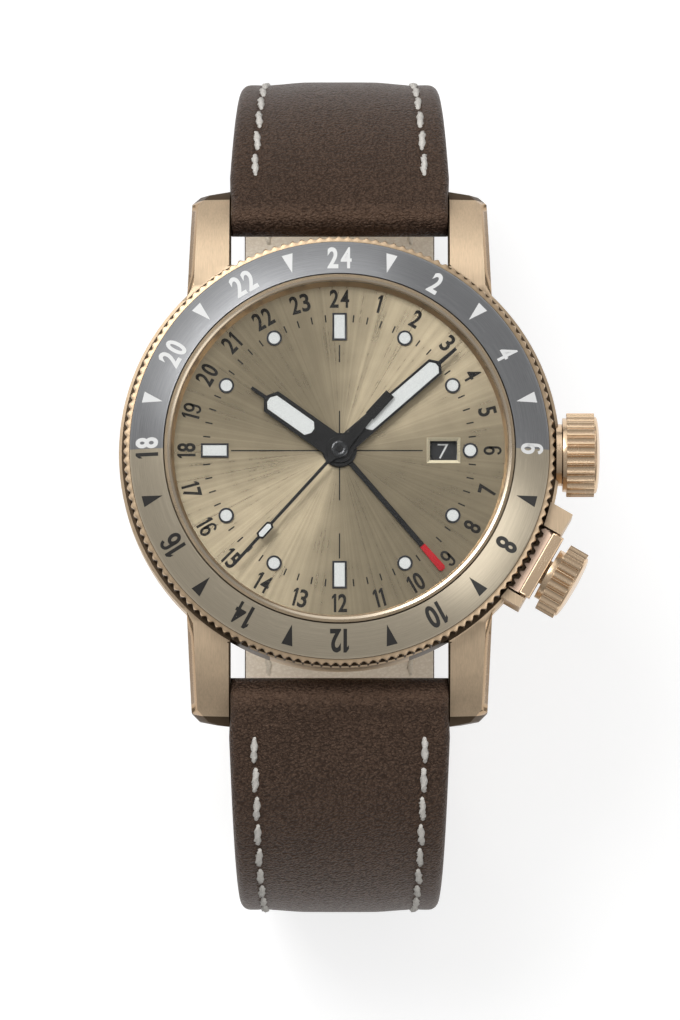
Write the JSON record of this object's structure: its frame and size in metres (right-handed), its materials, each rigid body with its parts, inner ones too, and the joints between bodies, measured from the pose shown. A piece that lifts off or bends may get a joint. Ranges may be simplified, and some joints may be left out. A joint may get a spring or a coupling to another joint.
{
  "type": "wristwatch",
  "caption": "Automatic wrist watch with a second time zone hand, a toothed bezel with its own lock crown, and a leather strap closed in a loop under it.",
  "frame": {"origin": "on the axis of the hands, on the flat underside of the strap that the watch rests on", "axes": "+Z out of the dial, +Y towards 24 on the dial, +X towards the winding crown"},
  "size_m": [0.0488, 0.086, 0.0483],
  "materials": {
    "bronze_case": "brushed flanks and lug tops with polished bevels",
    "bronze_bezel": "coin edge, polished upper rim",
    "bronze_crown": "satin with polished flutes",
    "bronze_buckle": "satin",
    "steel_back": "circular brushed",
    "sapphire": "clear polished",
    "gasket_rubber": "moulded",
    "gasket_brown": "smooth nylon",
    "flange_bronze": "satin",
    "dial_bronze": "sunray brushed champagne",
    "marker_dark": "satin",
    "lume_white": "matt luminous fill",
    "hand_dark": "satin",
    "movement_nickel": "nickel plated, grained",
    "screw_blue": "blued and polished",
    "ruby": "polished",
    "steel_part": "polished",
    "spring_steel": "polished",
    "wheel_brass": "circular grained",
    "balance_gold": "polished",
    "rotor_brass": "striped and plated",
    "date_black": "satin",
    "insert_metal": "brushed, upper half grey and lower half pale gold",
    "strap_leather": "dark brown grained, light stitching, cream lining"
  },
  "bodies": {
    "case": {"mid_case": "bronze_case", "case_back": "steel_back", "case_back_gasket": "gasket_rubber", "crystal": "sapphire", "crystal_gasket": "gasket_brown", "flange_ring": "flange_bronze", "crown_tube": "bronze_crown", "dial": "dial_bronze", "dial_markers": "marker_dark", "marker_lume": "lume_white", "movement_ring": "movement_nickel", "main_plate": "movement_nickel", "barrel_bridge": "movement_nickel", "train_bridge": "movement_nickel", "balance_cock": "movement_nickel", "bridge_screws": "screw_blue", "jewels": "ruby", "rotor_bearing": "steel_part", "spring_bars": "steel_part"},
    "bezel": {"bezel_ring": "bronze_bezel", "bezel_insert": "insert_metal"},
    "winding_pinion": {"winding_pinion": "steel_part"},
    "winding_crown": {"winding_crown": "bronze_crown", "crown_stem": "steel_part", "crown_gasket": "gasket_rubber"},
    "crown_wheel": {"crown_wheel": "steel_part"},
    "ratchet": {"ratchet_wheel": "steel_part"},
    "lock_crown": {"lock_crown": "bronze_crown"},
    "lock_shoe": {"lock_shoe": "bronze_crown"},
    "barrel": {"barrel": "wheel_brass", "mainspring": "spring_steel"},
    "minute": {"center_wheel": "wheel_brass", "minute_hand": "hand_dark", "minute_lume": "lume_white"},
    "third": {"third_wheel": "wheel_brass"},
    "seconds": {"fourth_wheel": "wheel_brass", "second_hand": "hand_dark"},
    "escape": {"escape_wheel": "steel_part"},
    "pallet": {"pallet_fork": "steel_part"},
    "balance": {"balance_wheel": "balance_gold", "hairspring": "spring_steel"},
    "minute_wheel": {"minute_wheel": "wheel_brass"},
    "hour": {"hour_wheel": "wheel_brass", "hour_hand": "hand_dark", "hour_lume": "lume_white"},
    "zone": {"zone_wheel": "wheel_brass", "zone_hand": "hand_dark"},
    "transfer": {"transfer_wheel": "wheel_brass"},
    "date_ring": {"date_ring": "date_black"},
    "date_drive": {"date_drive_wheel": "wheel_brass"},
    "rotor": {"rotor": "rotor_brass"},
    "strap_lower": {"strap_6": "strap_leather"},
    "strap_upper": {"strap_12": "strap_leather", "fixed_keeper": "strap_leather"},
    "sliding_keeper": {"sliding_keeper": "strap_leather"},
    "buckle": {"buckle_frame": "bronze_buckle", "buckle_bar": "steel_part"},
    "tongue": {"buckle_tongue": "bronze_buckle"}
  },
  "joints": [
    {"name": "bezel_turn", "type": "hinge", "parent": "case", "child": "bezel", "pos_m": [0, 0, 0.045], "axis": [0, 0, 1], "continuous": true},
    {"name": "crown_turn", "type": "hinge", "parent": "case", "child": "winding_pinion", "pos_m": [0.0092, 0, 0.0408], "axis": [1, 0, 0], "continuous": true},
    {"name": "crown_pull", "type": "slide", "parent": "winding_pinion", "child": "winding_crown", "axis": [1, 0, 0], "range_m": [0, 0.0014]},
    {"name": "crown_wheel_turn", "type": "hinge", "parent": "case", "child": "crown_wheel", "pos_m": [0.0072, 0, 0.0405], "axis": [0, 0, 1], "continuous": true},
    {"name": "ratchet_turn", "type": "hinge", "parent": "case", "child": "ratchet", "pos_m": [0.00266, 0.00462, 0.0388], "axis": [0, 0, 1], "continuous": true},
    {"name": "lock_crown_turn", "type": "hinge", "parent": "case", "child": "lock_crown", "pos_m": [0.02165, -0.0125, 0.0418], "axis": [0.866, -0.5, 0], "range_deg": [0, 540]},
    {"name": "lock_shoe_slide", "type": "slide", "parent": "case", "child": "lock_shoe", "axis": [-0.866, 0.5, 0], "range_m": [0, 0.0004]},
    {"name": "minute_hand_turn", "type": "hinge", "parent": "case", "child": "minute", "pos_m": [0, 0, 0.045], "axis": [0, 0, 1], "continuous": true},
    {"name": "barrel_turn", "type": "hinge", "parent": "case", "child": "barrel", "pos_m": [0.00266, 0.00462, 0.0414], "axis": [0, 0, 1], "continuous": true},
    {"name": "third_wheel_turn", "type": "hinge", "parent": "case", "child": "third", "pos_m": [-0.0039, 0.00069, 0.0402], "axis": [0, 0, 1], "continuous": true},
    {"name": "second_hand_turn", "type": "hinge", "parent": "case", "child": "seconds", "pos_m": [0, 0, 0.045], "axis": [0, 0, 1], "continuous": true},
    {"name": "escape_wheel_turn", "type": "hinge", "parent": "case", "child": "escape", "pos_m": [0.00193, -0.00333, 0.0408], "axis": [0, 0, 1], "continuous": true},
    {"name": "minute_wheel_turn", "type": "hinge", "parent": "case", "child": "minute_wheel", "pos_m": [-0.00082, -0.00226, 0.0433], "axis": [0, 0, 1], "continuous": true},
    {"name": "hour_hand_turn", "type": "hinge", "parent": "case", "child": "hour", "pos_m": [0, 0, 0.045], "axis": [0, 0, 1], "continuous": true},
    {"name": "transfer_wheel_turn", "type": "hinge", "parent": "case", "child": "transfer", "pos_m": [0.00221, 0.00128, 0.0438], "axis": [0, 0, 1], "continuous": true},
    {"name": "zone_hand_turn", "type": "hinge", "parent": "case", "child": "zone", "pos_m": [0, 0, 0.045], "axis": [0, 0, 1], "continuous": true},
    {"name": "date_drive_turn", "type": "hinge", "parent": "case", "child": "date_drive", "pos_m": [-0.001, 0.00567, 0.0436], "axis": [0, 0, 1], "continuous": true},
    {"name": "date_ring_turn", "type": "hinge", "parent": "case", "child": "date_ring", "pos_m": [0, 0, 0.0441], "axis": [0, 0, 1], "continuous": true},
    {"name": "pallet_rock", "type": "hinge", "parent": "case", "child": "pallet", "pos_m": [0.00117, -0.0054, 0.0409], "axis": [0, 0, 1], "range_deg": [-5, 5]},
    {"name": "balance_swing", "type": "hinge", "parent": "case", "child": "balance", "pos_m": [-0.00055, -0.00786, 0.0401], "axis": [0, 0, 1], "range_deg": [-270, 270]},
    {"name": "rotor_turn", "type": "hinge", "parent": "case", "child": "rotor", "pos_m": [0, 0, 0.0382], "axis": [0, 0, 1], "continuous": true},
    {"name": "strap_lower_swing", "type": "hinge", "parent": "case", "child": "strap_lower", "pos_m": [0, -0.02475, 0.0392], "axis": [-1, 0, 0], "range_deg": [0, 65]},
    {"name": "strap_upper_swing", "type": "hinge", "parent": "case", "child": "strap_upper", "pos_m": [0, 0.02475, 0.0392], "axis": [1, 0, 0], "range_deg": [0, 65]},
    {"name": "keeper_slide", "type": "slide", "parent": "strap_upper", "child": "sliding_keeper", "axis": [0, -0.9659, 0.2588], "range_m": [0, 0.004]},
    {"name": "buckle_swing", "type": "hinge", "parent": "strap_upper", "child": "buckle", "pos_m": [0, -0.00217, 0.01321], "axis": [1, 0, 0], "range_deg": [-80, 45]},
    {"name": "tongue_swing", "type": "hinge", "parent": "buckle", "child": "tongue", "pos_m": [0, -0.00217, 0.01321], "axis": [1, 0, 0], "range_deg": [0, 60]}
  ],
  "couplings": [
    {"joint": "crown_wheel_turn", "follows": "crown_turn", "ratio": -0.58333},
    {"joint": "ratchet_turn", "follows": "crown_turn", "ratio": 0.39667},
    {"joint": "lock_crown_turn", "follows": "lock_shoe_slide", "rad_per_m": 23562},
    {"joint": "minute_hand_turn", "follows": "second_hand_turn", "ratio": 0.016667},
    {"joint": "barrel_turn", "follows": "second_hand_turn", "ratio": -0.0023148},
    {"joint": "third_wheel_turn", "follows": "second_hand_turn", "ratio": -0.13333},
    {"joint": "escape_wheel_turn", "follows": "second_hand_turn", "ratio": -10},
    {"joint": "minute_wheel_turn", "follows": "second_hand_turn", "ratio": -0.0055556},
    {"joint": "hour_hand_turn", "follows": "second_hand_turn", "ratio": 0.0013889},
    {"joint": "transfer_wheel_turn", "follows": "second_hand_turn", "ratio": -0.00097222},
    {"joint": "zone_hand_turn", "follows": "second_hand_turn", "ratio": 0.00069444},
    {"joint": "date_drive_turn", "follows": "second_hand_turn", "ratio": -0.00069444},
    {"joint": "strap_upper_swing", "follows": "strap_lower_swing", "ratio": 1}
  ]
}
